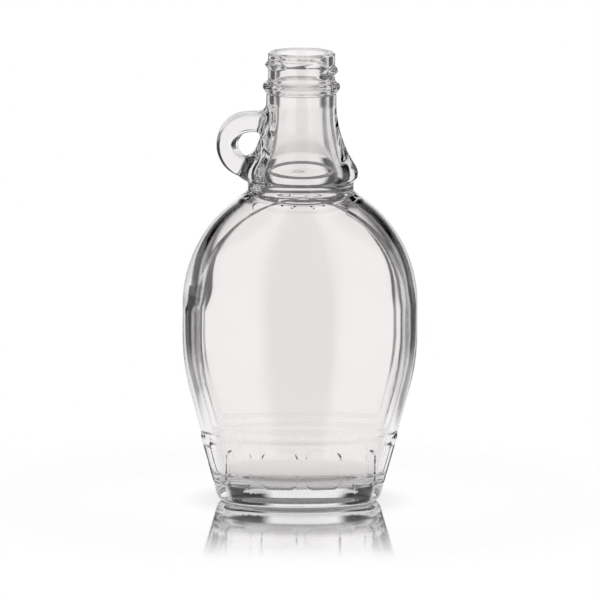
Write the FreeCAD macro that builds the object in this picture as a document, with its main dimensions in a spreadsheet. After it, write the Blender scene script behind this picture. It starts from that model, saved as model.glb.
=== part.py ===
"""A clear glass syrup flask: an oval body, a flared neck with a screw finish and one small ring handle.

The whole bottle is one piece of glass, so the model ends in one solid. Lengths are in millimetres and
angles in degrees. +Z is up, the origin is the middle of the foot, the broad faces look along -Y and +Y,
and the handle stands towards -X.
"""
import FreeCAD
import Part
import Sketcher
import math
import os

DOC = FreeCAD.newDocument("SyrupBottle")

# Each driving size: its name, its value and what it is.
SIZES = (
    ("body_height", 118.8, "foot to the top of the body, where the collar starts"),
    ("neck_height", 51.7, "top of the body to the rim"),
    ("body_width", 88.4, "widest part of the body, left to right"),
    ("body_depth", 48.0, "deepest part of the body, front to back"),
    ("widest_from", 64.0, "height where the upright stretch of the sides starts"),
    ("widest_to", 75.0, "height where it ends and the shoulders start"),
    ("belly_arc", 86.0, "radius of the sides below the upright stretch"),
    ("side_taper", 15.5, "lean of the lower sides from upright"),
    ("depth_peak", 62.0, "height of the deepest part"),
    ("collar_waist", 39.8, "diameter of the collar's narrow stretch"),
    ("collar_seat", 2.5, "how deep the collar is rooted in the body"),
    ("shoulder_tuck", 2.1, "how far the shoulder arcs run in under the collar"),
    ("collar_step", 1.0, "how far the body stands out in front of the collar"),
    ("collar_height", 3.4, "height of the collar between the body and the neck's flared foot"),
    ("foot_overhang", 1.6, "how far the flared foot stands out over the collar"),
    ("foot_height", 4.1, "height of the flared foot's upright edge"),
    ("foot_edge", 1.5, "radius of the rounded lower edge of the flared foot"),
    ("flare_height", 25.7, "height of the neck's flare above the foot's edge"),
    ("finish_outer", 25.3, "diameter of the finish between its threads"),
    ("finish_wall", 2.95, "glass at the finish"),
    ("rim_round", 1.2, "radius of the rounded rim"),
    ("neck_step", 0.55, "how far the neck stands out beyond the finish"),
    ("bead_proud", 1.35, "how far the bead under the thread stands out beyond the neck"),
    ("bead_drop", 13.1, "depth of the bead's middle below the rim"),
    ("bead_height", 4.0, "height of the bead"),
    ("thread_depth", 1.05, "how far the thread stands out from the finish"),
    ("thread_width", 2.4, "width of the thread at its root"),
    ("thread_pitch", 4.233, "rise of the thread in one turn, six turns to the inch"),
    ("thread_drop", 7.7, "depth of the thread's middle below the rim where it starts"),
    ("thread_start", -65.0, "angle where the thread starts, from +X"),
    ("thread_sweep", 313.0, "angle that the thread turns through"),
    ("thread_root", 0.5, "how deep the thread is rooted in the finish"),
    ("bore_flare_rise", 29.2, "height above the body's top where the inside starts to flare"),
    ("collar_wall", 1.36, "how far that flare ends inside the collar's outer face"),
    ("inside_drop", 3.8, "depth below the body's top where that flare meets the body's hollow"),
    ("side_wall", 2.8, "glass at the narrow sides"),
    ("face_wall", 2.3, "glass at the broad faces"),
    ("floor_height", 7.0, "height of the inside's floor"),
    ("floor_round", 4.0, "radius of the inside's bottom corner"),
    ("heel_round", 3.0, "radius of the rounded heel"),
    ("stand_width", 3.4, "width of the flat ring that the bottle stands on"),
    ("push_up", 2.2, "height of the hollow under the foot"),
    ("push_up_slope", 4.5, "width of the sloping edge of that hollow"),
    ("panel_from", 29.3, "height of the lower edge of each broad face's panel"),
    ("panel_inset", 6.0, "distance of the panel's edge from the outline"),
    ("panel_sink", 0.4, "depth of the panel below the glass around it"),
    ("band_top", 25.4, "height of the band above the foot"),
    ("band_proud", 0.5, "how far the band stands out from the sides"),
    ("window_from", 7.8, "height of the lower edge of the band's windows"),
    ("window_to", 21.7, "height of their upper edge"),
    ("window_corner", 2.7, "radius of their corners"),
    ("window_width", 13.1, "width of the two middle windows of each broad face"),
    ("window_gap", 3.3, "glass between those two windows"),
    ("outer_window_middle", 23.4, "distance of the outer windows from the middle"),
    ("outer_window_width", 9.0, "width of the outer windows"),
    ("end_window_width", 9.6, "width of the windows at the narrow sides"),
    ("end_window_gap", 3.0, "glass between those windows, at the mould's parting line"),
    ("handle_radius", 12.3, "radius of the handle's outer edge"),
    ("handle_reach", 18.65, "how far the handle stands out beyond the neck's side"),
    ("handle_rise", 16.7, "height of the handle's middle above the body's top"),
    ("handle_thick", 9.0, "thickness of the handle, front to back"),
    ("handle_fillet", 4.0, "radius where the handle's top runs into the neck"),
    ("handle_edge", 1.9, "radius of the handle's outer edges"),
    ("handle_root", 9.0, "distance from the axis to which the handle's ends run"),
    ("hole_radius", 5.1, "half the height of the finger hole"),
    ("hole_reach", 10.2, "distance of the hole's far side from the neck's side, at its narrowest"),
    ("hole_splay", 3.0, "how much further that side lies at the handle's faces"),
)
PAST = 1.0  # how far a cutting shape runs past the face that it opens

sheet = DOC.addObject("Spreadsheet::Sheet", "Sizes")
for row, (alias, value, note) in enumerate(SIZES, 1):
    sheet.set(f"A{row}", alias)
    sheet.set(f"B{row}", str(value))
    sheet.setAlias(f"B{row}", alias)
    sheet.set(f"C{row}", note)
DOC.recompute()


def worth(expression):
    """The number that an expression of sheet sizes comes to."""
    result = sheet.evalExpression(expression)
    return float(getattr(result, "Value", result))


def bent(reach, rise):
    """The radius of an arc that starts along one axis, goes rise along it and reach across it."""
    return f"((({reach}) ^ 2 + ({rise}) ^ 2) / (2 * ({reach})))"


def between(low, high, share):
    return f"({low} + {share} * ({high} - {low}))"


# ---- The body's outline. Each width is that of a copy of the outline which lies inset within it.

HALF_WIDTH = "Sizes.body_width / 2"
HALF_DEPTH = "Sizes.body_depth / 2"
WAIST = "Sizes.collar_waist / 2"
SHOULDER = bent(
    f"{HALF_WIDTH} - {WAIST} + Sizes.shoulder_tuck", "Sizes.body_height - Sizes.widest_to"
)
TOP_DEPTH = f"({WAIST} + Sizes.collar_step)"


def taper_end(inset):
    """The height where the straight lower side runs into the belly's arc."""
    return f"(Sizes.widest_from - (Sizes.belly_arc - {inset}) * sin(Sizes.side_taper))"


def taper_half_width(height, inset):
    belly = f"(Sizes.belly_arc - {inset}) * cos(Sizes.side_taper)"
    lean = f"({taper_end(inset)} - {height}) * tan(Sizes.side_taper)"
    return f"({HALF_WIDTH} - Sizes.belly_arc + {belly} - {lean})"


def belly_half_width(height, inset):
    across = f"sqrt((Sizes.belly_arc - {inset}) ^ 2 - (Sizes.widest_from - {height}) ^ 2)"
    return f"({HALF_WIDTH} - Sizes.belly_arc + {across})"


def shoulder_half_width(height, inset):
    across = f"sqrt(({SHOULDER} - {inset}) ^ 2 - ({height} - Sizes.widest_to) ^ 2)"
    return f"({HALF_WIDTH} - {SHOULDER} + {across})"


def half_depth(height, inset):
    share = f"(({height} - Sizes.depth_peak) / (Sizes.body_height - Sizes.depth_peak))"
    return f"({HALF_DEPTH} - ({HALF_DEPTH} - {TOP_DEPTH}) * {share} ^ 2 - {inset})"


def oval(name, height, half_width, half_depth_there):
    ellipse = DOC.addObject("Part::Ellipse", name)
    ellipse.setExpression("MajorRadius", half_width)
    ellipse.setExpression("MinorRadius", half_depth_there)
    ellipse.setExpression("Placement.Base.z", height)
    return ellipse


def lofted(name, sections, ruled=False):
    loft = DOC.addObject("Part::Loft", name)
    loft.Sections = sections
    loft.Solid = True
    loft.Ruled = ruled
    return loft


def flask(name, low, top, top_radius, inset, depth_inset):
    """The body's form, or one inset within it, as a loft of ovals that ends in a circle."""
    straight = taper_end(inset)
    stretches = (
        (low, straight, taper_half_width, (0, 0.2, 0.4, 0.6, 0.8, 1)),
        (straight, "Sizes.widest_from", belly_half_width, (0.35, 0.7, 1)),
        ("Sizes.widest_to", top, shoulder_half_width, (0, 0.2, 0.38, 0.54, 0.68, 0.8, 0.9)),
    )
    levels = [
        (between(bottom, end, share), half_width)
        for bottom, end, half_width, shares in stretches
        for share in shares
    ]
    ovals = [
        oval(f"{name}Oval{number}", height, half_width(height, inset), half_depth(height, depth_inset))
        for number, (height, half_width) in enumerate(levels)
    ]
    ovals.append(oval(f"{name}Top", top, top_radius, top_radius))
    return lofted(name, ovals)


# ---- Sketches. A loop is a list of corners, each with the arc, if any, that leads to the next one.


def sketch_in(body, name, role):
    """An empty sketch on one of the body's own origin planes."""
    sketch = body.newObject("Sketcher::SketchObject", name)
    plane = next(item for item in body.Origin.OriginFeatures if item.Role == role)
    sketch.AttachmentSupport = [(plane, "")]
    sketch.MapMode = "FlatFace"
    return sketch


def arc_between(start, end, radius, turn):
    """The lesser arc from start to end, which turns left with turn 1 and right with turn -1."""
    chord = end - start
    away = FreeCAD.Vector(-chord.y, chord.x, 0).normalize()
    stand_off = math.sqrt(max(radius**2 - chord.Length**2 / 4, 0))
    centre = (start + end) / 2 + away * stand_off * turn
    first, last = (start, end) if turn > 0 else (end, start)
    circle = Part.Circle(centre, FreeCAD.Vector(0, 0, 1), radius)
    angles = [math.atan2(point.y - centre.y, point.x - centre.x) for point in (first, last)]
    return Part.ArcOfCircle(circle, *angles)


def bind(sketch, kind, target, expression):
    """A dimension of the sketch that follows an expression."""
    index = sketch.addConstraint(Sketcher.Constraint(kind, *target, worth(expression)))
    sketch.setExpression(f"Constraints[{index}]", expression)


def draw_loop(sketch, corners):
    """A closed outline. Each corner is (x, y) or (x, y, radius, turn), all as expressions but turn."""
    points = [FreeCAD.Vector(worth(corner[0]), worth(corner[1]), 0) for corner in corners]
    starts, ends = [], []
    for number, corner in enumerate(corners):
        start, end = points[number], points[(number + 1) % len(points)]
        curved = len(corner) > 2
        if curved:
            edge = arc_between(start, end, worth(corner[2]), corner[3])
        else:
            edge = Part.LineSegment(start, end)
        index = sketch.addGeometry(edge, False)
        backwards = curved and corner[3] < 0
        starts.append((index, 2 if backwards else 1))
        ends.append((index, 1 if backwards else 2))
    for number, corner in enumerate(corners):
        sketch.addConstraint(Sketcher.Constraint("Coincident", *ends[number - 1], *starts[number]))
        for kind, axis, along, expression in (
            ("DistanceX", -2, points[number].x, corner[0]),
            ("DistanceY", -1, points[number].y, corner[1]),
        ):
            if abs(along) < 1e-9:
                sketch.addConstraint(Sketcher.Constraint("PointOnObject", *starts[number], axis))
            else:
                bind(sketch, kind, (-1, 1, *starts[number]), expression)
        if len(corner) > 2:
            bind(sketch, "Radius", (starts[number][0],), corner[2])


def body_named(name):
    return DOC.addObject("PartDesign::Body", name)


def turned(name, corners):
    """A body turned about the bottle's axis from a half profile."""
    body = body_named(name)
    sketch = sketch_in(body, f"{name}Profile", "XZ_Plane")
    draw_loop(sketch, corners)
    revolution = body.newObject("PartDesign::Revolution", f"{name}Turned")
    revolution.Profile = sketch
    revolution.ReferenceAxis = (sketch, ["V_Axis"])
    revolution.Angle = 360
    return body


def padded(name, role, loops, thickness):
    """A body that stands equally far out on both sides of one of its origin planes."""
    body = body_named(name)
    sketch = sketch_in(body, f"{name}Profile", role)
    for corners in loops:
        draw_loop(sketch, corners)
    pad = body.newObject("PartDesign::Pad", f"{name}Pad")
    pad.Profile = sketch
    pad.SideType = "Symmetric"
    pad.setExpression("Length", thickness)
    return body


def fused(name, *pieces):
    fusion = DOC.addObject("Part::MultiFuse", name)
    fusion.Shapes = list(pieces)
    return fusion


def cut(name, base, tool):
    removal = DOC.addObject("Part::Cut", name)
    removal.Base = base
    removal.Tool = tool
    return removal


def rounded(body, name, radius, chosen):
    """A fillet on the edges of the body's shape that chosen picks."""
    DOC.recompute()
    tip = body.Tip
    picked = [f"Edge{n}" for n, edge in enumerate(tip.Shape.Edges, 1) if chosen(edge)]
    if not picked:
        raise RuntimeError(f"{name} found no edge")
    fillet = body.newObject("PartDesign::Fillet", name)
    fillet.Base = (tip, picked)
    fillet.setExpression("Radius", radius)
    return fillet


# ---- The body with its sunk panels and its band of windows


def panel_loop():
    """The egg-shaped outline of a panel, inset all round from the body's own outline."""
    inset = "Sizes.panel_inset"
    foot = taper_half_width("Sizes.panel_from", inset)
    bend = taper_end(inset)
    side = f"({HALF_WIDTH} - {inset})"
    bend_side = taper_half_width(bend, inset)
    belly = f"(Sizes.belly_arc - {inset})"
    arch = f"({SHOULDER} - {inset})"
    peak = f"(Sizes.widest_to + sqrt({arch} ^ 2 - ({SHOULDER} - {HALF_WIDTH}) ^ 2))"
    return [
        (f"-{foot}", "Sizes.panel_from"),
        (foot, "Sizes.panel_from"),
        (bend_side, bend, belly, 1),
        (side, "Sizes.widest_from"),
        (side, "Sizes.widest_to", arch, 1),
        ("0", peak, arch, 1),
        (f"-{side}", "Sizes.widest_to"),
        (f"-{side}", "Sizes.widest_from", belly, 1),
        (f"-{bend_side}", bend),
    ]


def window_loop(middle, width):
    """A window's outline with four round corners."""
    left, right = f"({middle} - {width} / 2)", f"({middle} + {width} / 2)"
    low, high, corner = "Sizes.window_from", "Sizes.window_to", "Sizes.window_corner"
    return [
        (f"({left} + {corner})", low),
        (f"({right} - {corner})", low, corner, 1),
        (right, f"({low} + {corner})"),
        (right, f"({high} - {corner})", corner, 1),
        (f"({right} - {corner})", high),
        (f"({left} + {corner})", high, corner, 1),
        (left, f"({high} - {corner})"),
        (left, f"({low} + {corner})", corner, 1),
    ]


def mirrored_windows(middle, width):
    return [window_loop(f"({side} * {middle})", width) for side in (-1, 1)]


ACROSS = "Sizes.body_width * 2"  # long enough to cut through the whole body
END_RADIUS = f"({WAIST} + 0.2)"

skin = flask("Skin", "0", "Sizes.body_height", END_RADIUS, "0", "0")
core = flask("Core", "0", "Sizes.body_height", END_RADIUS, "Sizes.panel_sink", "Sizes.panel_sink")
panels = padded("Panels", "XZ_Plane", [panel_loop()], ACROSS)
framed = cut("FramedSkin", skin, panels)

proud = "-Sizes.band_proud"
band = lofted(
    "Band",
    [
        oval(f"BandOval{number}", level, taper_half_width(level, proud), half_depth(level, proud))
        for number, level in enumerate(("0", "Sizes.band_top / 2", "Sizes.band_top"))
    ],
)
face_windows = padded(
    "FaceWindows",
    "XZ_Plane",
    mirrored_windows("(Sizes.window_width + Sizes.window_gap) / 2", "Sizes.window_width")
    + mirrored_windows("Sizes.outer_window_middle", "Sizes.outer_window_width"),
    ACROSS,
)
end_windows = padded(
    "EndWindows",
    "YZ_Plane",
    mirrored_windows("(Sizes.end_window_width + Sizes.end_window_gap) / 2", "Sizes.end_window_width"),
    ACROSS,
)
windowed = cut("WindowedBand", band, fused("Windows", face_windows, end_windows))

blank = fused("Blank", core, framed, windowed)

# ---- The body's heel, and the pieces that stand on the body

glass = body_named("Glass")
glass.BaseFeature = blank
rounded(
    glass,
    "Heel",
    "Sizes.heel_round",
    lambda edge: edge.BoundBox.ZMax < 0.01 and edge.BoundBox.XLength > 1,
)

RIM = "(Sizes.body_height + Sizes.neck_height)"
FINISH = "(Sizes.finish_outer / 2)"
NECK = f"({FINISH} + Sizes.neck_step)"
BORE = f"({FINISH} - Sizes.finish_wall)"
FOOT = f"({WAIST} + Sizes.foot_overhang)"
SEAT = "(Sizes.body_height - Sizes.collar_seat)"
FOOT_LOW = "(Sizes.body_height + Sizes.collar_height)"
FOOT_HIGH = f"({FOOT_LOW} + Sizes.foot_height)"
FLARE = bent(f"{FOOT} - {NECK}", "Sizes.flare_height")
BEAD_LOW = f"({RIM} - Sizes.bead_drop - Sizes.bead_height / 2)"
BEAD_HIGH = f"({RIM} - Sizes.bead_drop + Sizes.bead_height / 2)"
BEAD_ARC = bent("Sizes.bead_proud + Sizes.neck_step / 2", "Sizes.bead_height / 2")

neck = turned(
    "Neck",
    [
        ("0", SEAT),
        (WAIST, SEAT),
        (WAIST, FOOT_LOW),
        (f"({FOOT} - Sizes.foot_edge)", FOOT_LOW, "Sizes.foot_edge", 1),
        (FOOT, f"({FOOT_LOW} + Sizes.foot_edge)"),
        (FOOT, FOOT_HIGH, FLARE, -1),
        (NECK, f"({FOOT_HIGH} + Sizes.flare_height)"),
        (NECK, BEAD_LOW, BEAD_ARC, 1),
        (FINISH, BEAD_HIGH),
        (FINISH, f"({RIM} - Sizes.rim_round)", "Sizes.rim_round", 1),
        (f"({FINISH} - Sizes.rim_round)", RIM),
        ("0", RIM),
    ],
)

thread = body_named("Thread")
thread_profile = sketch_in(thread, "ThreadProfile", "XZ_Plane")
ROOT = f"({FINISH} - Sizes.thread_root)"
THREAD_LOW = f"({RIM} - Sizes.thread_drop - Sizes.thread_width / 2)"
THREAD_HIGH = f"({RIM} - Sizes.thread_drop + Sizes.thread_width / 2)"
THREAD_ARC = bent("Sizes.thread_depth", "Sizes.thread_width / 2")
draw_loop(
    thread_profile,
    [
        (ROOT, THREAD_LOW),
        (FINISH, THREAD_LOW, THREAD_ARC, 1),
        (FINISH, THREAD_HIGH),
        (ROOT, THREAD_HIGH),
    ],
)
ridge = thread.newObject("PartDesign::AdditiveHelix", "ThreadRidge")
ridge.Profile = thread_profile
ridge.ReferenceAxis = (thread_profile, ["V_Axis"])
ridge.Mode = "pitch-height-angle"
ridge.setExpression("Pitch", "Sizes.thread_pitch")
ridge.setExpression("Height", "Sizes.thread_pitch * Sizes.thread_sweep / 360")
thread.Placement = FreeCAD.Placement(
    FreeCAD.Vector(), FreeCAD.Rotation(FreeCAD.Vector(0, 0, 1), worth("Sizes.thread_start"))
)

# ---- The ring handle, with a finger hole that opens wider towards both faces

REACH = f"({NECK} + Sizes.handle_reach)"
MIDDLE = "(Sizes.body_height + Sizes.handle_rise)"
RING = f"({REACH} - Sizes.handle_radius)"
RING_TOP = f"({MIDDLE} + Sizes.handle_radius)"
RING_FOOT = f"({MIDDLE} - Sizes.handle_radius)"
BLEND_TOP = f"({RING_TOP} + Sizes.handle_fillet)"
HOLE = f"({NECK} + Sizes.hole_reach - Sizes.hole_radius)"

ring = padded(
    "Ring",
    "XZ_Plane",
    [
        [
            ("-Sizes.handle_root", BLEND_TOP),
            (f"-{NECK}", BLEND_TOP, "Sizes.handle_fillet", -1),
            (f"-({NECK} + Sizes.handle_fillet)", RING_TOP),
            (f"-{RING}", RING_TOP, "Sizes.handle_radius", 1),
            (f"-{REACH}", MIDDLE, "Sizes.handle_radius", 1),
            (f"-{RING}", RING_FOOT),
            ("-Sizes.handle_root", RING_FOOT),
        ]
    ],
    "Sizes.handle_thick",
)
ring_front = worth("Sizes.handle_thick / 2")
blend_left = -worth(f"{NECK} + Sizes.handle_fillet")
rounded(
    ring,
    "RingEdges",
    "Sizes.handle_edge",
    lambda edge: edge.BoundBox.YLength < 0.01
    and abs(abs(edge.BoundBox.YMin) - ring_front) < 0.01
    and edge.BoundBox.XMin < blend_left + 0.01
    and edge.BoundBox.ZLength > 0.01,
)


def upright_oval(name, front, half_width):
    """An oval in a plane that faces -Y, round the middle of the finger hole."""
    ellipse = DOC.addObject("Part::Ellipse", name)
    ellipse.setExpression("MajorRadius", half_width)
    ellipse.setExpression("MinorRadius", "Sizes.hole_radius")
    ellipse.Placement.Rotation = FreeCAD.Rotation(FreeCAD.Vector(1, 0, 0), 90)
    ellipse.setExpression("Placement.Base.x", f"-{HOLE}")
    ellipse.setExpression("Placement.Base.y", front)
    ellipse.setExpression("Placement.Base.z", MIDDLE)
    return ellipse


BEYOND = f"(Sizes.handle_thick / 2 + {PAST})"
SPLAY = f"(Sizes.hole_splay * {BEYOND} / (Sizes.handle_thick / 2))"
hole_end = lofted(
    "HoleEnd",
    [
        upright_oval("HoleFront", f"-{BEYOND}", f"(Sizes.hole_radius + {SPLAY})"),
        upright_oval("HoleMiddle", "0", "Sizes.hole_radius"),
        upright_oval("HoleBack", BEYOND, f"(Sizes.hole_radius + {SPLAY})"),
    ],
    ruled=True,
)
hole_slot = DOC.addObject("Part::Box", "HoleSlot")
hole_slot.setExpression("Length", f"{HOLE} - Sizes.handle_root + {PAST}")
hole_slot.setExpression("Width", f"2 * {BEYOND}")
hole_slot.setExpression("Height", "2 * Sizes.hole_radius")
hole_slot.setExpression("Placement.Base.x", f"-{HOLE}")
hole_slot.setExpression("Placement.Base.y", f"-{BEYOND}")
hole_slot.setExpression("Placement.Base.z", f"{MIDDLE} - Sizes.hole_radius")
handle = cut("Handle", ring, fused("FingerHole", hole_end, hole_slot))

# ---- The inside: the body's hollow, the bore through the neck, and the push-up under the foot

INSIDE_TOP = "(Sizes.body_height - Sizes.inside_drop)"
INSIDE_DROP = "(Sizes.bore_flare_rise + Sizes.inside_drop)"
BORE_END = f"({WAIST} - Sizes.collar_wall)"
BORE_ARC = bent(f"{BORE_END} - {BORE}", INSIDE_DROP)

hollow = body_named("Hollow")
hollow.BaseFeature = flask(
    "HollowForm",
    "Sizes.floor_height",
    INSIDE_TOP,
    BORE_END,
    "Sizes.side_wall",
    "Sizes.face_wall",
)
floor = worth("Sizes.floor_height")
rounded(
    hollow,
    "FloorCorner",
    "Sizes.floor_round",
    lambda edge: edge.BoundBox.ZMax < floor + 0.01 and edge.BoundBox.XLength > 1,
)
bore = turned(
    "Bore",
    [
        ("0", f"({INSIDE_TOP} - {PAST})"),
        (BORE_END, f"({INSIDE_TOP} - {PAST})"),
        (BORE_END, INSIDE_TOP, BORE_ARC, -1),
        (BORE, "(Sizes.body_height + Sizes.bore_flare_rise)"),
        (BORE, f"({RIM} - Sizes.rim_round)", "Sizes.rim_round", -1),
        (f"({BORE} + Sizes.rim_round)", RIM),
        (f"({BORE} + Sizes.rim_round)", f"({RIM} + {PAST})"),
        ("0", f"({RIM} + {PAST})"),
    ],
)

STAND = "(Sizes.heel_round + Sizes.stand_width)"
push_up = lofted(
    "PushUp",
    [
        oval(
            f"PushUpOval{number}",
            level,
            f"({taper_half_width('0', '0')} - {inset})",
            half_depth("0", inset),
        )
        for number, (level, inset) in enumerate(
            (
                (f"-{PAST}", STAND),
                ("0", STAND),
                ("Sizes.push_up", f"({STAND} + Sizes.push_up_slope)"),
            )
        )
    ],
    ruled=True,
)

solid_bottle = fused("SolidBottle", glass, neck, thread, handle)
inside = fused("Inside", hollow, bore, push_up)
bottle = cut("Bottle", solid_bottle, inside)
bottle.Label = "bottle"

# ---- Check every object, then write the part

DOC.recompute()
for item in DOC.Objects:
    if "Invalid" in item.State or "Error" in item.State:
        raise RuntimeError(f"{item.Name} failed: {item.State}")
shape = bottle.Shape
if shape.isNull() or not shape.isValid():
    raise RuntimeError("the bottle's shape is null or not valid")
if len(shape.Solids) != 1:
    raise RuntimeError(f"the bottle came out as {len(shape.Solids)} solids")

os.makedirs("parts", exist_ok=True)
shape.exportStep(f"parts/{bottle.Label}.step")
box = shape.optimalBoundingBox(False)
print(f"bottle: {shape.Volume / 1000:.1f} cm3 of glass")
print(f"bottle: {box.XLength:.1f} x {box.YLength:.1f} x {box.ZLength:.1f} mm")
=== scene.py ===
"""The looks of an empty glass syrup flask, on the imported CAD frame.

One closed mesh of clear glass stands for the CAD bottle. Its form is a distance function in
millimetres, worked out from named sizes, and a surface net over a grid turns it into a mesh.
"""
import math

import bpy
import numpy as np
from mathutils import Matrix, Vector


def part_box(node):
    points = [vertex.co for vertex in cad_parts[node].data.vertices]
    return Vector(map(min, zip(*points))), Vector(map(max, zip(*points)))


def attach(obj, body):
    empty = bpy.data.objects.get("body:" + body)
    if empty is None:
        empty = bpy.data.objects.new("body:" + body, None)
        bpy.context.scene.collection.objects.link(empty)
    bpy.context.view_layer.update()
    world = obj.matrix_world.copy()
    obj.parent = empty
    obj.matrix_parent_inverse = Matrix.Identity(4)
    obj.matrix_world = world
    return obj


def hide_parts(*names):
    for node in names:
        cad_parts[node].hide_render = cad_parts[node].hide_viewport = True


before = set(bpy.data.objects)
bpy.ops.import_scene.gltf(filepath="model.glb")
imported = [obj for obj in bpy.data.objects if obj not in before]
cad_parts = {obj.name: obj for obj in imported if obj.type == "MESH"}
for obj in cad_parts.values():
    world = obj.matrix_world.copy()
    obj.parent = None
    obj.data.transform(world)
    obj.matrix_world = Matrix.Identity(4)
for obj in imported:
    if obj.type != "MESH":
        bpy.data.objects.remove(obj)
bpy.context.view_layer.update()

MM = 0.001
LOW, HIGH = (np.array(corner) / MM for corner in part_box("bottle"))

# ---- Sizes of the glass, in millimetres and degrees

PANEL_SINK = 0.4  # depth of the faces' panels
RIM = HIGH[2]
HALF_WIDTH = (HIGH[0] - LOW[0]) / 2
HALF_DEPTH = (HIGH[1] - LOW[1]) / 2 + PANEL_SINK
SIDE_ROUND = 18.0  # radius of the body's narrow sides, seen from above
WIDEST_FROM = 64.0  # heights between which the body is at its widest
WIDEST_TO = 75.0
BELLY_ARC = 86.0  # radius of the outline just below them
SIDE_TAPER = math.radians(15.5)  # lean of the straight sides below that arc
DEPTH_PEAK = 62.0  # height where the body is at its deepest
BODY_TOP = 118.8
BODY_TOP_ROUND = 1.6
COLLAR = 19.9  # radius of the collar between the body and the neck's foot
COLLAR_STEP = 1.0  # how far the body's top stands out past the collar, in front and behind
COLLAR_FILLET = 1.1
SHOULDER_TUCK = 2.1  # how far inside the collar the shoulder's outline ends
HEEL_ROUND = 2.6
STAND_WIDTH = 6.4  # width of the ring that the bottle stands on
PUSH_UP = 2.2  # height of the hollow underneath, and the width over which it rises
PUSH_UP_SLOPE = 6.0

PANEL_FROM = 29.3
PANEL_INSET = 6.0  # distance of a panel's edge from the outline
PANEL_CORNER = 2.5
PANEL_EDGE = 2.4  # width over which a panel sinks
BAND_TOP = 25.4
BAND_PROUD = 0.5  # how far the band stands out
BAND_EDGE = 2.2
WINDOW_EDGE = 1.05  # width over which a window sinks
WINDOW_FROM = 7.8
WINDOW_TO = 21.7
WINDOW_CORNER = 2.7
FACE_WINDOWS = ((8.2, 13.1), (23.4, 9.0))  # middle and width, mirrored to the other side
END_WINDOWS = ((6.3, 9.6),)
FACE_END = 28.4  # distance from the middle where the broad face gives way to the narrow side
BACK_RELIEF = 0.35  # depth of the far face's windows, as a share of the near face's
BACK_BLEND = 4.0  # distance over which the near face's depth gives way to the far face's

FOOT = 21.5  # radius of the neck's foot
FOOT_LOW = 122.2
FOOT_EDGE = 1.8
FOOT_SHOULDER = 1.0
FOOT_FILLET = 1.1
FLARE_LOW = 126.3
FLARE_HIGH = 152.0
NECK = 13.2
FINISH = 12.65
FINISH_FILLET = 0.9
RIM_ROUND = 1.2
BEAD_OUTER = 14.55
BEAD_MIDDLE = RIM - 13.1
BEAD_ROUND = 2.04
BEAD_FILLET = 0.8
THREAD_FROM = RIM - 7.7
THREAD_PITCH = 4.233
THREAD_START = -65.0
THREAD_SWEEP = 313.0
THREAD_FADE = 30.0
THREAD_ROUND = 1.25
THREAD_OUTER = 13.7
THREAD_SINK = 1.4  # how far the ridge sinks into the glass where it fades out
THREAD_FILLET = 0.8

RING_MIDDLE = 135.5  # height of the ring's middle
RING_CENTRE = 19.55  # distance of the ring's middle from the axis
RING_RADIUS = 12.3
RING_THICK = 9.0
RING_EDGE = 1.9
HOLE_CENTRE = 18.3
HOLE_RADIUS = 5.1
HOLE_SPLAY = 3.0  # how much further the hole reaches at the faces than in the middle
HOLE_EDGE = 0.9
RING_FILLET = 3.2

# How far the shapes reach into each other, and how round they are, where other glass hides it
COLLAR_DEEP = 12.0
COLLAR_RISE = 1.0
RING_START = 4.0
HIDDEN_ROUND = 0.5
JOIN_ROUND = 0.3

SIDE_WALL = 3.2
SIDE_SHIFT = 0.3  # how far the hollow lies off the middle, so that one side's glass is thinner
SHIFT_TO = 100.0  # height where that has half faded out, and over how much height it fades
SHIFT_FADE = 40.0
LUMPS = (2.4, 0.8)  # how much thicker the glass is at the left and the right shoulder
LUMP_FROM = 77.0  # heights where that has half faded in and half faded out, and over how much
LUMP_TO = 84.0
LUMP_RISE = 10.0
LUMP_FALL = 44.0
FACE_WALL = 2.3
FLOOR = 7.0
FLOOR_ROUND = 6.0
BORE = 9.7
BORE_FLARE_TOP = 148.0
BORE_FLARE_ARC = 66.0
INSIDE_SIDE_ROUND = SIDE_ROUND - 2.5
INSIDE_TOP = 115.0
INSIDE_BLEND = 3.0
INSIDE_EDGE = 1.0
ROOM_OVER = 0.5  # how far the body's hollow and the bore reach past the height where they meet
BORE_UNDER = 1.0
RIPPLE = 0.08  # unevenness of the glass on the inside
# For each of its waves: how far along x, y and z it takes to turn by a radian, and where it starts
RIPPLE_WAVES = (
    (5.1, math.inf, 9.3, 0.0),
    (math.inf, -3.9, 6.7, 1.3),
    (7.9, math.inf, -4.7, 0.0),
)


def bent(reach, rise):
    """The radius of an arc that starts along one axis, goes rise along it and reach across it."""
    return (reach**2 + rise**2) / (2 * reach)


SHOULDER_ARC = bent(HALF_WIDTH - COLLAR + SHOULDER_TUCK, BODY_TOP - WIDEST_TO)
FLARE_ARC = bent(FOOT - NECK, FLARE_HIGH - FLARE_LOW)

# ---- Distance functions: negative inside, in millimetres

MOST_ROUND = 0.92  # the most that a side's radius may be of an oval's half width or half depth


def step(value, width):
    """0 below -width / 2, 1 above width / 2 and smooth between."""
    share = np.clip(value / width + 0.5, 0, 1)
    return share * share * (3 - 2 * share)


def union(first, second, radius):
    """Both shapes, with a fillet of that radius where they meet."""
    return np.maximum(radius, np.minimum(first, second)) - np.hypot(
        np.maximum(radius - first, 0), np.maximum(radius - second, 0)
    )


def overlap(first, second, radius):
    """What both shapes hold, with the edge where they meet rounded to that radius."""
    return -union(-first, -second, radius)


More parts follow.
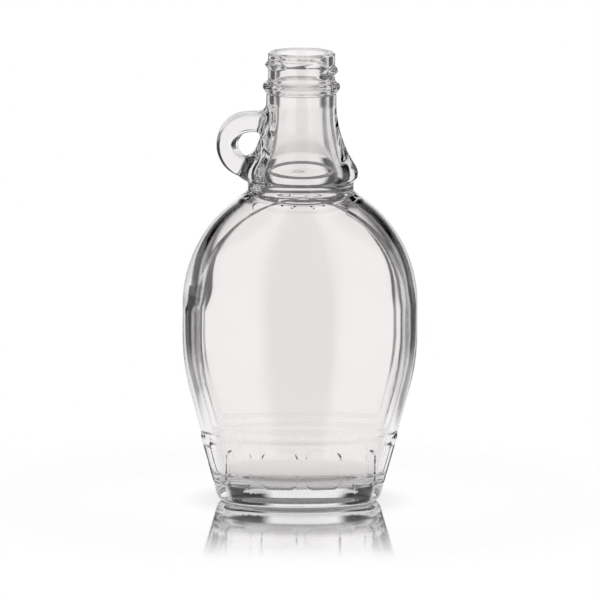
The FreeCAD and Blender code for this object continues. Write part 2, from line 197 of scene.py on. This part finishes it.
def half_width(z, inset):
    """The body's half width at a height, inset along the outline's normal."""
    belly, shoulder = BELLY_ARC - inset, SHOULDER_ARC - inset
    bend = WIDEST_FROM - belly * math.sin(SIDE_TAPER)
    lean = (bend - z) * math.tan(SIDE_TAPER)
    return np.select(
        (z < bend, z < WIDEST_FROM, z < WIDEST_TO),
        (
            HALF_WIDTH - BELLY_ARC + belly * math.cos(SIDE_TAPER) - lean,
            HALF_WIDTH - BELLY_ARC + np.sqrt(np.maximum(belly**2 - (WIDEST_FROM - z) ** 2, 0)),
            HALF_WIDTH - inset,
        ),
        HALF_WIDTH - SHOULDER_ARC + np.sqrt(np.maximum(shoulder**2 - (z - WIDEST_TO) ** 2, 1)),
    )


def half_depth(z, inset):
    fall = HALF_DEPTH - COLLAR - COLLAR_STEP
    return HALF_DEPTH - inset - fall * ((z - DEPTH_PEAK) / (BODY_TOP - DEPTH_PEAK)) ** 2


def oval(x, y, wide, deep, side):
    """An oval of four tangent arcs, with the given half width, half depth and side radius."""
    side = np.minimum(side, MOST_ROUND * np.minimum(wide, deep))
    front = ((wide - side) ** 2 + deep**2 - side**2) / (2 * (deep - side))
    x, y = np.abs(x), np.abs(y)
    on_front = (wide - side) * (y - deep + front) + (deep - front) * x > 0
    return np.where(
        on_front, np.hypot(x, y - deep + front) - front, np.hypot(x - wide + side, y) - side
    )


def window(across, z, middle, width):
    """A rectangle with round corners, flat in the plane of across and z."""
    side = np.abs(np.abs(across) - middle) - width / 2 + WINDOW_CORNER
    rise = np.abs(z - (WINDOW_FROM + WINDOW_TO) / 2) - (WINDOW_TO - WINDOW_FROM) / 2 + WINDOW_CORNER
    outside = np.hypot(np.maximum(side, 0), np.maximum(rise, 0))
    return outside + np.minimum(np.maximum(side, rise), 0) - WINDOW_CORNER


def relief(x, y, z):
    """How far the body's surface stands out: the band, less its windows, and the sunk panels."""
    face = np.minimum.reduce([window(x, z, *sizes) for sizes in FACE_WINDOWS])
    end = np.minimum.reduce([window(y, z, *sizes) for sizes in END_WINDOWS])
    windows = step(-np.where(np.abs(x) < FACE_END, face, end), WINDOW_EDGE)
    windows = windows * (1 - (1 - BACK_RELIEF) * step(y, BACK_BLEND))
    band = step(BAND_TOP - z, BAND_EDGE) * (1 - windows)
    panel = overlap(np.abs(x) - half_width(z, PANEL_INSET), PANEL_FROM - z, PANEL_CORNER)
    return BAND_PROUD * band - PANEL_SINK * step(-panel, PANEL_EDGE)


def body(x, y, z):
    wide, deep = half_width(z, 0), half_depth(z, 0)
    walls = oval(x, y, wide, deep, SIDE_ROUND) - relief(x, y, z)
    inward = -oval(x, y, half_width(0.0, 0), half_depth(0.0, 0), SIDE_ROUND)
    under = PUSH_UP * step(inward - STAND_WIDTH - PUSH_UP_SLOPE / 2, PUSH_UP_SLOPE)
    return overlap(overlap(walls, under - z, HEEL_ROUND), z - BODY_TOP, BODY_TOP_ROUND)


def neck(x, y, z):
    """The collar, the flared neck and the screw finish, all turned about the axis but the thread."""
    out = np.hypot(x, y)
    reach = FLARE_HIGH - np.minimum(z, FLARE_HIGH)
    sweep = np.sqrt(np.maximum(FLARE_ARC**2 - reach**2, 1))
    flare = (out - NECK - FLARE_ARC + sweep) * sweep / FLARE_ARC
    foot = overlap(overlap(out - FOOT, flare, FOOT_SHOULDER), FOOT_LOW - z, FOOT_EDGE)
    foot = overlap(foot, z - BEAD_MIDDLE, JOIN_ROUND)
    collar = overlap(out - COLLAR, z - FOOT_LOW - COLLAR_RISE, HIDDEN_ROUND)
    collar = overlap(collar, BODY_TOP - COLLAR_DEEP - z, HIDDEN_ROUND)
    finish = overlap(overlap(out - FINISH, z - RIM, RIM_ROUND), BEAD_MIDDLE - z, JOIN_ROUND)
    bead = np.hypot(out - BEAD_OUTER + BEAD_ROUND, z - BEAD_MIDDLE) - BEAD_ROUND
    turned = (np.degrees(np.arctan2(y, x)) - THREAD_START) % 360
    raised = step(turned - THREAD_FADE / 2, THREAD_FADE) * step(
        THREAD_SWEEP - THREAD_FADE / 2 - turned, THREAD_FADE
    )
    centre = THREAD_OUTER - THREAD_ROUND - THREAD_SINK * (1 - raised)
    rise = z - THREAD_FROM - THREAD_PITCH * turned / 360
    thread = np.hypot(out - centre, rise) - THREAD_ROUND
    whole = union(foot, collar, FOOT_FILLET)
    whole = union(whole, union(finish, bead, BEAD_FILLET), FINISH_FILLET)
    return union(whole, thread, THREAD_FILLET)


def ring(x, y, z):
    """The handle: a flat ring with a finger hole that opens wider towards both faces."""
    left, rise = -x, z - RING_MIDDLE
    outline = np.hypot(np.maximum(left - RING_CENTRE, 0), rise) - RING_RADIUS
    flat = overlap(outline, np.abs(y) - RING_THICK / 2, RING_EDGE)
    flat = overlap(flat, RING_START - left, HIDDEN_ROUND)
    reach = HOLE_RADIUS + HOLE_SPLAY * np.abs(y) / (RING_THICK / 2)
    past = np.maximum(left - HOLE_CENTRE, 0)
    hole = (np.hypot(past / reach, rise / HOLE_RADIUS) - 1) * HOLE_RADIUS
    return overlap(flat, -hole, HOLE_EDGE)


def waves(x, y, z):
    """The ripple's waves, each between -1 and 1, added up."""
    return sum(
        np.sin(x / wide + y / deep + z / high + start) for wide, deep, high, start in RIPPLE_WAVES
    )


def inside(x, y, z):
    """The hollow: the body's inside, off the middle by a little, and the bell-shaped bore."""
    lump = np.where(x < 0, *LUMPS)
    lump = lump * step(z - LUMP_FROM, LUMP_RISE) * step(LUMP_TO - z, LUMP_FALL)
    wide, deep = half_width(z, SIDE_WALL) - lump, half_depth(z, FACE_WALL)
    shifted = x - SIDE_SHIFT * step(SHIFT_TO - z, SHIFT_FADE)
    room = oval(shifted, y, wide, deep, INSIDE_SIDE_ROUND)
    room = overlap(room, FLOOR - z, FLOOR_ROUND)
    room = overlap(room, z - INSIDE_TOP - ROOM_OVER, INSIDE_EDGE)
    reach = BORE_FLARE_TOP - np.minimum(z, BORE_FLARE_TOP)
    sweep = np.sqrt(np.maximum(BORE_FLARE_ARC**2 - reach**2, 1))
    bore = (np.hypot(x, y) - BORE - BORE_FLARE_ARC + sweep) * sweep / BORE_FLARE_ARC
    bore = overlap(bore, INSIDE_TOP - BORE_UNDER - z, INSIDE_EDGE)
    return union(room, bore, INSIDE_BLEND) + RIPPLE * waves(x, y, z) / len(RIPPLE_WAVES)


def glass(points):
    x, y, z = points[..., 0], points[..., 1], points[..., 2]
    outer = union(body(x, y, z), neck(x, y, z), COLLAR_FILLET)
    outer = union(outer, ring(x, y, z), RING_FILLET)
    return overlap(outer, -inside(x, y, z), RIM_ROUND)


# ---- The mesh: a surface net over a grid, with its quads cut finer where the surface bends

ACROSS_STEP = 1.05
MARGIN = 1.5
# Heights from which and up to which the grid has layers, and how far apart they are
LAYERS = ((-1.5, 31, 1.1), (31, 92, 2.2), (92, 121, 1.0), (121, RIM + 1.3, 0.8))
SHARPEST = (10.0, 22.0)  # degrees that a quad may turn, in each round of cutting
SLOPE_REACH = 0.02  # distance over which the slope of the distance function is taken
LEAST_STEEP = 0.05  # limits that keep a point from leaping where the slope is slight
LONGEST_SHIFT = 0.3
CORNERS = [(i, j, k) for i in (0, 1) for j in (0, 1) for k in (0, 1)]
EDGES = [
    (first, second)
    for first, a in enumerate(CORNERS)
    for second, b in enumerate(CORNERS)
    if first < second and sum(abs(p - q) for p, q in zip(a, b)) == 1
]


def grid_lines():
    across = [
        np.linspace(LOW[axis] - MARGIN, HIGH[axis] + MARGIN, round((HIGH - LOW)[axis] / ACROSS_STEP))
        for axis in (0, 1)
    ]
    layers = [
        np.linspace(start, end, round((end - start) / gap), endpoint=False)
        for start, end, gap in LAYERS
    ]
    return *across, np.concatenate([*layers, [LAYERS[-1][1]]])


def surface_net(xs, ys, zs):
    """One point for each grid cell that the surface passes through, and the quads between them."""
    points = np.stack(np.meshgrid(xs, ys, zs, indexing="ij"), axis=-1)
    values = glass(points)
    filled = values < 0
    size = [n - 1 for n in values.shape]

    def corner(array, offset):
        i, j, k = offset
        return array[i : i + size[0], j : j + size[1], k : k + size[2]]

    count = sum(corner(filled, offset).astype(int) for offset in CORNERS)
    crossed = (count > 0) & (count < len(CORNERS))
    total = np.zeros((crossed.sum(), 3))
    hits = np.zeros(crossed.sum())
    value = [corner(values, offset)[crossed] for offset in CORNERS]
    place = [corner(points, offset)[crossed] for offset in CORNERS]
    for first, second in EDGES:
        cut = (value[first] < 0) != (value[second] < 0)
        share = value[first][cut] / (value[first][cut] - value[second][cut])
        along = place[second][cut] - place[first][cut]
        total[cut] += place[first][cut] + share[:, None] * along
        hits[cut] += 1
    vertices = total / hits[:, None]

    number = np.full(size, -1)
    number[crossed] = np.arange(len(vertices))
    quads = []
    for axis in range(3):
        b, c = (axis + 1) % 3, (axis + 2) % 3
        start = np.take(filled, range(size[axis]), axis=axis)
        end = np.take(filled, range(1, size[axis] + 1), axis=axis)
        at = np.argwhere(start != end)
        at = at[(at[:, b] > 0) & (at[:, c] > 0) & (at[:, b] < size[b]) & (at[:, c] < size[c])]
        forward = start[tuple(at.T)]
        ring_of_cells = []
        for back_b, back_c in ((1, 1), (0, 1), (0, 0), (1, 0)):
            cell = at.copy()
            cell[:, b] -= back_b
            cell[:, c] -= back_c
            ring_of_cells.append(number[tuple(cell.T)])
        quad = np.stack(ring_of_cells, axis=1)
        quad[~forward] = quad[~forward][:, ::-1]
        quads.append(quad)
    return vertices, np.concatenate(quads)


def slope(points):
    """The distance function's gradient."""
    parts = []
    for axis in range(3):
        offset = np.zeros(3)
        offset[axis] = SLOPE_REACH
        parts.append((glass(points + offset) - glass(points - offset)) / (2 * SLOPE_REACH))
    return np.stack(parts, axis=-1)


def normals(points):
    gradient = slope(points)
    return gradient / np.linalg.norm(gradient, axis=1)[:, None]


def onto_surface(points, rounds):
    """The points moved along the slope until they lie on the surface."""
    for _ in range(rounds):
        gradient = slope(points)
        steepness = np.maximum((gradient**2).sum(axis=1), LEAST_STEEP)
        shift = (glass(points) / steepness)[:, None] * gradient
        points = points - np.clip(shift, -LONGEST_SHIFT, LONGEST_SHIFT)
    return points


def evened(points, faces, rounds):
    """The points slid along the surface, each round half the way to their neighbours' middle."""
    ends = np.array([pair for face in faces for pair in zip(face, face[1:] + face[:1])])
    for _ in range(rounds):
        total = np.zeros_like(points)
        hits = np.zeros(len(points))
        np.add.at(total, ends[:, 0], points[ends[:, 1]])
        np.add.at(total, ends[:, 1], points[ends[:, 0]])
        np.add.at(hits, ends.ravel(), 1)
        shift = total / hits[:, None] - points
        normal = normals(points)
        shift -= (shift * normal).sum(axis=1)[:, None] * normal
        points = onto_surface(points + shift / 2, rounds=1)
    return points


def finer(points, faces, sharpest):
    """Quads over which the surface turns more than that are cut into four."""
    normal = normals(points)
    least = math.cos(math.radians(sharpest))
    added, middles = [], {}

    def add(*corners):
        added.append(sum(points[corner] for corner in corners) / len(corners))
        return len(points) + len(added) - 1

    def middle(first, second):
        side = (min(first, second), max(first, second))
        if side not in middles:
            middles[side] = add(first, second)
        return middles[side]

    cut, kept = [], []
    for face in faces:
        turns = [normal[face[i]] @ normal[face[j]] for i, j in ((0, 2), (1, 3), (0, 1), (1, 2))]
        if len(face) > 4 or min(turns) > least:
            kept.append(face)
            continue
        centre = add(*face)
        halves = [middle(face[i], face[(i + 1) % 4]) for i in range(4)]
        cut += [[face[i], halves[i], centre, halves[i - 1]] for i in range(4)]
    for face in kept:
        whole = []
        for first, second in zip(face, face[1:] + face[:1]):
            whole += [first]
            side = (min(first, second), max(first, second))
            whole += [middles[side]] if side in middles else []
        cut.append(whole)
    return np.concatenate([points, added]), cut


def glass_mesh():
    points, quads = surface_net(*grid_lines())
    faces = quads.tolist()
    points = evened(onto_surface(points, rounds=3), faces, rounds=4)
    for sharpest in SHARPEST:
        points, faces = finer(points, faces, sharpest)
        points = evened(onto_surface(points, rounds=2), faces, rounds=2)
    points = onto_surface(points, rounds=2)
    mesh = bpy.data.meshes.new("glass_bottle")
    mesh.from_pydata((points * MM).tolist(), [], faces)
    mesh.polygons.foreach_set("use_smooth", [True] * len(faces))
    mesh.normals_split_custom_set_from_vertices(normals(points).tolist())
    mesh.validate()
    mesh.update()
    return mesh


# ---- Materials


def new_material(name):
    material = bpy.data.materials.new(name)
    material.use_nodes = True
    material.node_tree.nodes.clear()
    return material, material.node_tree.nodes, material.node_tree.links


def maths(tree, operation, *values):
    """A maths node. Each value is a number or another node's output."""
    node = tree.nodes.new("ShaderNodeMath")
    node.operation = operation
    for socket, value in zip(node.inputs, values):
        if isinstance(value, (int, float)):
            socket.default_value = value
        else:
            tree.links.new(value, socket)
    return node.outputs[0]


def ramp(tree, value, start, end, low, high):
    """Low up to start, high from end, and smooth between."""
    node = tree.nodes.new("ShaderNodeMapRange")
    node.interpolation_type = "SMOOTHSTEP"
    tree.links.new(value, node.inputs["Value"])
    for name, number in (("From Min", start), ("From Max", end), ("To Min", low), ("To Max", high)):
        node.inputs[name].default_value = number
    return node.outputs["Result"]


def noise(tree, place, scale):
    node = tree.nodes.new("ShaderNodeTexNoise")
    node.inputs["Scale"].default_value = scale
    node.inputs["Detail"].default_value = 1
    tree.links.new(place, node.inputs["Vector"])
    return node.outputs["Fac"]


def bump(tree, height, deep, normal=None):
    """A normal for a height that is a share of a depth in metres."""
    node = tree.nodes.new("ShaderNodeBump")
    node.inputs["Strength"].default_value = 1
    node.inputs["Distance"].default_value = deep
    tree.links.new(height, node.inputs["Height"])
    if normal is not None:
        tree.links.new(normal, node.inputs["Normal"])
    return node.outputs["Normal"]


GLASS_TINT = (0.93, 0.912, 0.912, 1)
GLASS_INDEX = 1.52
GLASS_DEPTH_TINT = (0.75, 0.76, 0.75, 1)  # what the glass's depth lets through
GLASS_DEPTH_RATE = 9  # how fast it takes the rest

# The glass is a little wavy all over, and stippled underneath.
WAVE_SCALE = 80
WAVE_DEEP = 0.000012
STIPPLE_FROM = 0.003  # heights between which the stipple fades out
STIPPLE_TO = 0.004
LEVEL_FROM = 0.8  # how level the surface is where the stipple starts and where it is full
LEVEL_TO = 0.97
STIPPLE_SCALE = 1100
STIPPLE_DEEP = 0.0003
STIPPLE_ROUGH = 0.6


def glass_material():
    material, nodes, links = new_material("clear_glass")
    tree = material.node_tree
    output = nodes.new("ShaderNodeOutputMaterial")
    shader = nodes.new("ShaderNodeBsdfPrincipled")
    shader.inputs["Base Color"].default_value = GLASS_TINT
    shader.inputs["Transmission Weight"].default_value = 1
    shader.inputs["IOR"].default_value = GLASS_INDEX
    on_glass = nodes.new("ShaderNodeTexCoord")
    place = on_glass.outputs["Object"]
    height, facing = (nodes.new("ShaderNodeSeparateXYZ") for _ in range(2))
    links.new(place, height.inputs["Vector"])
    links.new(on_glass.outputs["Normal"], facing.inputs["Vector"])
    level = ramp(tree, maths(tree, "ABSOLUTE", facing.outputs["Z"]), LEVEL_FROM, LEVEL_TO, 0, 1)
    low = ramp(tree, height.outputs["Z"], STIPPLE_FROM, STIPPLE_TO, 1, 0)
    stand = maths(tree, "MULTIPLY", low, level)
    grain = noise(tree, place, STIPPLE_SCALE)
    rough = maths(tree, "MULTIPLY_ADD", grain, STIPPLE_ROUGH, STIPPLE_ROUGH / 2)
    links.new(maths(tree, "MULTIPLY", rough, stand), shader.inputs["Roughness"])
    stippled = bump(tree, maths(tree, "MULTIPLY", grain, stand), STIPPLE_DEEP)
    wavy = bump(tree, noise(tree, place, WAVE_SCALE), WAVE_DEEP, stippled)
    links.new(wavy, shader.inputs["Normal"])
    absorption = nodes.new("ShaderNodeVolumeAbsorption")
    absorption.inputs["Color"].default_value = GLASS_DEPTH_TINT
    absorption.inputs["Density"].default_value = GLASS_DEPTH_RATE
    links.new(shader.outputs["BSDF"], output.inputs["Surface"])
    links.new(absorption.outputs["Volume"], output.inputs["Volume"])
    return material


def add_bottle():
    bottle = bpy.data.objects.new("glass_bottle", glass_mesh())
    bpy.context.scene.collection.objects.link(bottle)
    bottle.data.materials.append(glass_material())
    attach(bottle, "root")
    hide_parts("bottle")


# ---- The camera

VIEW_AZIMUTH = math.radians(-2.6)
VIEW_ELEVATION = math.radians(9.0)
VIEW_ROLL = math.radians(0.37)
VIEW_DISTANCE = 5.0
VIEW_WIDTH = 0.2256
VIEW_HEIGHT = 0.07625  # height of the point in the middle of the picture
SENSOR = 36.0


def add_camera():
    camera = bpy.data.objects.new("camera", bpy.data.cameras.new("camera"))
    bpy.context.scene.collection.objects.link(camera)
    bpy.context.scene.camera = camera
    flat = math.cos(VIEW_ELEVATION)
    across, away = math.sin(VIEW_AZIMUTH) * flat, -math.cos(VIEW_AZIMUTH) * flat
    back = Vector((across, away, math.sin(VIEW_ELEVATION)))
    target = Vector((0, 0, VIEW_HEIGHT))
    turn = (-back).to_track_quat("-Z", "Y").to_matrix().to_4x4() @ Matrix.Rotation(VIEW_ROLL, 4, "Z")
    camera.matrix_world = Matrix.Translation(target + back * VIEW_DISTANCE) @ turn
    camera.data.sensor_width = SENSOR
    camera.data.lens = SENSOR * VIEW_DISTANCE / VIEW_WIDTH
    camera.data.clip_end = 4 * VIEW_DISTANCE


# ---- The floor and the light

FLOOR_RADIUS = 0.45
FLOOR_SHADED = 0.6  # how much of the floor's white comes from the light on it
MIRROR_FROM = 0.04  # distances from the axis between which the floor's shine fades
MIRROR_TO = 0.145
MIRROR_SHINE = 1
MIRROR_STEEP = 0.765  # the floor shines only where it is seen at a flat angle: 1 less its sine
MIRROR_FLAT = 0.815
MIRROR_ROUGH = 0.06
FLOOR_PAINTED_SHADOW = 0.85  # painted shadow: how bright the floor's shine is right under the bottle, darkened there to stand for its contact shadow
# Distances from the axis between which the painted shadow in the floor's shine fades out
PAINTED_SHADOW_FROM = 0.028
PAINTED_SHADOW_TO = 0.048
OPEN_FROM = 0.105  # distances between which the floor gives way to the studio behind it
OPEN_TO = 0.15


def floor_material():
    material, nodes, links = new_material("floor")
    tree = material.node_tree
    output = nodes.new("ShaderNodeOutputMaterial")
    place = nodes.new("ShaderNodeNewGeometry")
    length = nodes.new("ShaderNodeVectorMath")
    length.operation = "LENGTH"
    links.new(place.outputs["Position"], length.inputs[0])
    distance = length.outputs["Value"]
    matt = nodes.new("ShaderNodeBsdfDiffuse")
    matt.inputs["Color"].default_value = (FLOOR_SHADED, FLOOR_SHADED, FLOOR_SHADED, 1)
    glow = nodes.new("ShaderNodeEmission")
    glow.inputs["Strength"].default_value = 1 - FLOOR_SHADED
    white = nodes.new("ShaderNodeAddShader")
    links.new(matt.outputs["BSDF"], white.inputs[0])
    links.new(glow.outputs["Emission"], white.inputs[1])
    shine = nodes.new("ShaderNodeBsdfGlossy")
    shine.inputs["Roughness"].default_value = MIRROR_ROUGH
    # Painted shadow: the shine's colour is darker close to the bottle's axis and fades to full
    # brightness further out
    links.new(ramp(tree, distance, PAINTED_SHADOW_FROM, PAINTED_SHADOW_TO, FLOOR_PAINTED_SHADOW, 1), shine.inputs["Color"])
    near = nodes.new("ShaderNodeMixShader")
    slant = nodes.new("ShaderNodeLayerWeight").outputs["Facing"]
    strength = ramp(tree, slant, MIRROR_STEEP, MIRROR_FLAT, 0, MIRROR_SHINE)
    reach = ramp(tree, distance, MIRROR_FROM, MIRROR_TO, 1, 0)
    links.new(maths(tree, "MULTIPLY", strength, reach), near.inputs["Fac"])
    links.new(white.outputs["Shader"], near.inputs[1])
    links.new(shine.outputs["BSDF"], near.inputs[2])
    clear = nodes.new("ShaderNodeBsdfTransparent")
    whole = nodes.new("ShaderNodeMixShader")
    links.new(ramp(tree, distance, OPEN_FROM, OPEN_TO, 0, 1), whole.inputs["Fac"])
    links.new(near.outputs["Shader"], whole.inputs[1])
    links.new(clear.outputs["BSDF"], whole.inputs[2])
    links.new(whole.outputs["Shader"], output.inputs["Surface"])
    return material


def add_floor():
    corners = 96
    turns = [2 * math.pi * n / corners for n in range(corners)]
    rim = [(FLOOR_RADIUS * math.cos(turn), FLOOR_RADIUS * math.sin(turn), 0) for turn in turns]
    mesh = bpy.data.meshes.new("floor")
    mesh.from_pydata(rim, [], [list(range(corners))])
    mesh.materials.append(floor_material())
    floor = bpy.data.objects.new("floor", mesh)
    bpy.context.scene.collection.objects.link(floor)


# The studio round the bottle, in bands from low to high. Each band is how bright it is at some
# turns, in degrees from the far side. At the bottle's own height that is a white field behind it,
# a dark flag at each side of the field, soft boxes towards the front, and the dimmer room behind
# the camera.
STUDIO_GROUND = (
    (0, 0.8), (20, 0.7), (32, 0.95), (60, 0.95), (72, 0.2), (98, 0.2), (114, 1.0), (180, 0.9),
)
STUDIO_LOW = (
    (0, 0.95), (17, 0.95), (24, 0.25), (40, 0.25), (52, 0.8), (80, 0.8), (90, 0.3), (108, 0.3),
    (118, 1.1), (152, 1.1), (162, 0.4), (180, 0.4),
)
STUDIO_MIDDLE = (
    (0, 1.0), (12, 1.0), (19, 0.0), (44, 0.0), (56, 0.7), (78, 0.95), (112, 1.15), (150, 1.2),
    (157, 1.1), (162, 0.3), (180, 0.25),
)
STUDIO_HIGH = ((0, 0.12), (16, 0.1), (32, 0.02), (60, 0.02), (82, 0.2), (115, 0.4), (180, 0.3))
STUDIO_CEILING = ((0, 0.15), (30, 0.12), (60, 0.2), (180, 0.45))
# The bands above the ground's, each with the height in degrees where it starts
STUDIO = (
    (-22, STUDIO_LOW),
    (-12.5, STUDIO_MIDDLE),
    (17, STUDIO_HIGH),
    (38, STUDIO_CEILING),
)
BAND_BLEND = 4  # degrees over which one band gives way to the next


def band_level(tree, share, stops):
    """How bright a band of the studio is at a turn, given as a share of half a turn."""
    band = tree.nodes.new("ShaderNodeValToRGB")
    band.color_ramp.interpolation = "EASE"
    tree.links.new(share, band.inputs["Fac"])
    elements = band.color_ramp.elements
    while len(elements) < len(stops):
        elements.new(1)
    for element, (degrees, level) in zip(elements, stops):
        element.position = degrees / 180
        element.color = (level, level, level, 1)
    return band.outputs["Color"]


def add_world():
    world = bpy.data.worlds.new("studio")
    bpy.context.scene.world = world
    world.use_nodes = True
    tree = world.node_tree
    background = tree.nodes["Background"]
    background.inputs["Color"].default_value = (1, 1, 1, 1)
    towards = tree.nodes.new("ShaderNodeTexCoord")
    split = tree.nodes.new("ShaderNodeSeparateXYZ")
    tree.links.new(towards.outputs["Generated"], split.inputs["Vector"])
    turn = maths(tree, "ARCTAN2", maths(tree, "ABSOLUTE", split.outputs["X"]), split.outputs["Y"])
    share = maths(tree, "DIVIDE", turn, math.pi)
    rise = maths(tree, "DEGREES", maths(tree, "ARCSINE", split.outputs["Z"]))
    level = band_level(tree, share, STUDIO_GROUND)
    for start, stops in STUDIO:
        band = band_level(tree, share, stops)
        above = ramp(tree, rise, start - BAND_BLEND / 2, start + BAND_BLEND / 2, 0, 1)
        change = maths(tree, "MULTIPLY", maths(tree, "SUBTRACT", band, level), above)
        level = maths(tree, "ADD", level, change)
    path = tree.nodes.new("ShaderNodeLightPath")
    seen = maths(
        tree, "MAXIMUM", path.outputs["Is Glossy Ray"], path.outputs["Is Transmission Ray"]
    )
    shown = maths(tree, "MULTIPLY", maths(tree, "SUBTRACT", level, 1), seen)
    tree.links.new(maths(tree, "ADD", shown, 1), background.inputs["Strength"])


def set_light_paths():
    cycles = bpy.context.scene.cycles
    cycles.max_bounces = 12
    cycles.transmission_bounces = 12
    cycles.glossy_bounces = 8


bpy.context.scene.view_settings.view_transform = "Standard"
add_bottle()
add_camera()
add_floor()
add_world()
set_light_paths()
